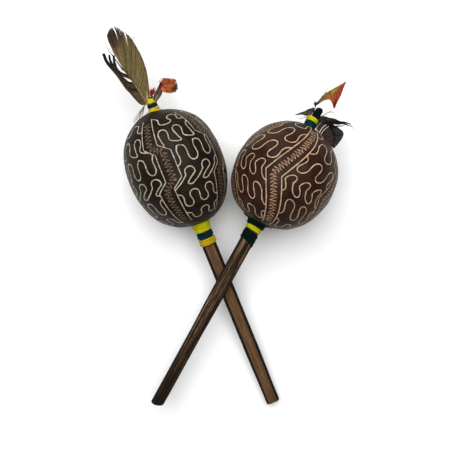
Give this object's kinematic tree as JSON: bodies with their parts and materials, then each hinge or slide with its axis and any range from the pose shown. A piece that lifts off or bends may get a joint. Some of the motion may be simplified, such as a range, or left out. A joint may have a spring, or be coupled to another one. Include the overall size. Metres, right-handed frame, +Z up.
{
  "type": "maracas",
  "caption": "Pair of carved gourd maracas on palm sticks, bound with coloured thread and tied feathers, lying crossed with loose seeds inside.",
  "frame": {"origin": "centre of the pair's bounding box in plan, on the surface that the maracas lie on", "axes": "+Z up from the surface, +Y from the sticks' butt ends towards the feathered tips, +X from the left maraca towards the right one"},
  "size_m": [0.2083, 0.3291, 0.0877],
  "materials": {
    "gourd_black": "blackened gourd shell, polished, with cut pale lines",
    "gourd_brown": "dark red-brown gourd shell, polished, with cut tan lines",
    "palm_brown": "split palm wood, brown face and dark edges",
    "palm_dark": "round palm wood with long dark and pale fibres",
    "resin": "dark natural resin",
    "thread_ochre": "wound cotton thread",
    "thread_yellow": "wound cotton thread",
    "thread_blue": "wound cotton thread",
    "thread_green": "wound cotton thread",
    "feather_olive": "feather vane, olive brown",
    "feather_orange": "feather vane, orange red",
    "feather_red": "downy red feather tuft",
    "feather_dark": "feather vane, near black",
    "feather_brown": "feather vane, dark brown with a black tip",
    "quill": "stripped pale quill fibres",
    "seed": "hard round seeds"
  },
  "bodies": {
    "left_maraca": {"left_gourd": "gourd_black", "left_stick": "palm_brown", "left_neck_resin": "resin", "left_tip_resin": "resin", "left_neck_thread_low": "thread_ochre", "left_neck_thread_mid": "thread_blue", "left_neck_thread_high": "thread_yellow", "left_tip_thread_low": "thread_ochre", "left_tip_thread_mid": "thread_blue", "left_tip_thread_high": "thread_yellow", "left_long_feather": "feather_olive", "left_orange_feather": "feather_orange", "left_red_tuft": "feather_red", "left_quill_strands": "quill"},
    "right_maraca": {"right_gourd": "gourd_brown", "right_stick": "palm_dark", "right_neck_resin": "resin", "right_tip_resin": "resin", "right_neck_thread_low": "thread_green", "right_neck_thread_mid": "thread_yellow", "right_neck_thread_high": "thread_green", "right_tip_thread_low": "thread_green", "right_tip_thread_mid": "thread_yellow", "right_tip_thread_high": "thread_green", "right_orange_feather": "feather_orange", "right_olive_feather": "feather_olive", "right_forked_feather": "feather_dark", "right_round_feather": "feather_brown", "right_wisps": "feather_dark"},
    "left_seed_row_1": {"left_seeds_1": "seed"},
    "left_seed_row_2": {"left_seeds_2": "seed"},
    "left_seed_row_3": {"left_seeds_3": "seed"},
    "left_seed_row_4": {"left_seeds_4": "seed"},
    "left_seed_row_5": {"left_seeds_5": "seed"},
    "right_seed_row_1": {"right_seeds_1": "seed"},
    "right_seed_row_2": {"right_seeds_2": "seed"},
    "right_seed_row_3": {"right_seeds_3": "seed"},
    "right_seed_row_4": {"right_seeds_4": "seed"},
    "right_seed_row_5": {"right_seeds_5": "seed"}
  },
  "joints": [
    {"name": "right_lift", "type": "slide", "parent": "left_maraca", "child": "right_maraca", "axis": [0, 0, 1], "range_m": [0, 0.15]},
    {"name": "left_seeds_1_swirl", "type": "hinge", "parent": "left_maraca", "child": "left_seed_row_1", "pos_m": [-0.04455, 0.04999, 0.04265], "axis": [-0.3672, 0.9154, 0.1651], "continuous": true},
    {"name": "left_seeds_2_swirl", "type": "hinge", "parent": "left_maraca", "child": "left_seed_row_2", "pos_m": [-0.04455, 0.04999, 0.04265], "axis": [-0.3672, 0.9154, 0.1651], "continuous": true},
    {"name": "left_seeds_3_throw", "type": "slide", "parent": "left_maraca", "child": "left_seed_row_3", "axis": [0.0615, -0.1532, 0.9863], "range_m": [0, 0.027]},
    {"name": "left_seeds_4_swirl", "type": "hinge", "parent": "left_maraca", "child": "left_seed_row_4", "pos_m": [-0.04455, 0.04999, 0.04265], "axis": [-0.3672, 0.9154, 0.1651], "continuous": true},
    {"name": "left_seeds_5_swirl", "type": "hinge", "parent": "left_maraca", "child": "left_seed_row_5", "pos_m": [-0.04455, 0.04999, 0.04265], "axis": [-0.3672, 0.9154, 0.1651], "continuous": true},
    {"name": "right_seeds_1_swirl", "type": "hinge", "parent": "right_maraca", "child": "right_seed_row_1", "pos_m": [0.04647, 0.04364, 0.04385], "axis": [0.4791, 0.8747, 0.0737], "continuous": true},
    {"name": "right_seeds_2_swirl", "type": "hinge", "parent": "right_maraca", "child": "right_seed_row_2", "pos_m": [0.04647, 0.04364, 0.04385], "axis": [0.4791, 0.8747, 0.0737], "continuous": true},
    {"name": "right_seeds_3_throw", "type": "slide", "parent": "right_maraca", "child": "right_seed_row_3", "axis": [-0.0354, -0.0646, 0.9973], "range_m": [0, 0.027]},
    {"name": "right_seeds_4_swirl", "type": "hinge", "parent": "right_maraca", "child": "right_seed_row_4", "pos_m": [0.04647, 0.04364, 0.04385], "axis": [0.4791, 0.8747, 0.0737], "continuous": true},
    {"name": "right_seeds_5_swirl", "type": "hinge", "parent": "right_maraca", "child": "right_seed_row_5", "pos_m": [0.04647, 0.04364, 0.04385], "axis": [0.4791, 0.8747, 0.0737], "continuous": true}
  ]
}
